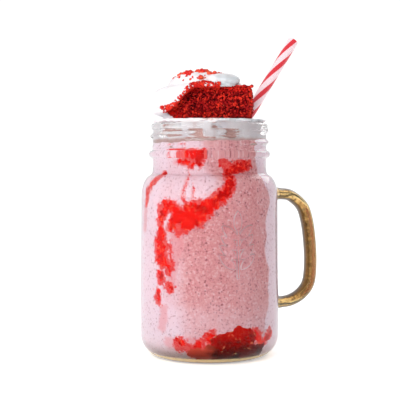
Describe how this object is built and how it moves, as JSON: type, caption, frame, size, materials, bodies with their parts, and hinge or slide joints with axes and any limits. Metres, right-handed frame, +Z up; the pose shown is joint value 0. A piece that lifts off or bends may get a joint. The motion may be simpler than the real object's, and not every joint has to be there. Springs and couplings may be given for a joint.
{
  "type": "milkshake in a handled glass jar",
  "caption": "Strawberry milkshake in a handled glass drinking jar, topped with whipped cream, a wedge of red sponge cake and a striped straw.",
  "frame": {"origin": "middle of the jar's flat foot, on the surface it stands on", "axes": "+Z up along the jar's axis; +X from the axis towards the handle; -Y faces the raised sprig on the wall"},
  "size_m": [0.11, 0.0812, 0.1885],
  "materials": {
    "jar_glass": "clear pressed glass, smooth, with a faint amber tone in the handle and foot",
    "milkshake": "thick dusty pink drink with fine dark specks and small bubbles",
    "red_syrup": "wet glossy strawberry syrup with small pieces of fruit",
    "dark_syrup": "dark red pooled syrup, wet",
    "strawberry": "wet red fruit flesh with pale seeds",
    "cream": "soft whipped cream with slanting folds, red crumbs on top",
    "cake": "porous red sponge crumb",
    "straw": "white paper straw with red spiral stripes"
  },
  "bodies": {
    "root": {"jar": "jar_glass", "milkshake": "milkshake", "syrup_run": "red_syrup", "syrup_pool": "dark_syrup", "strawberry": "strawberry", "whipped_cream": "cream", "cake": "cake", "straw": "straw"}
  },
  "joints": []
}
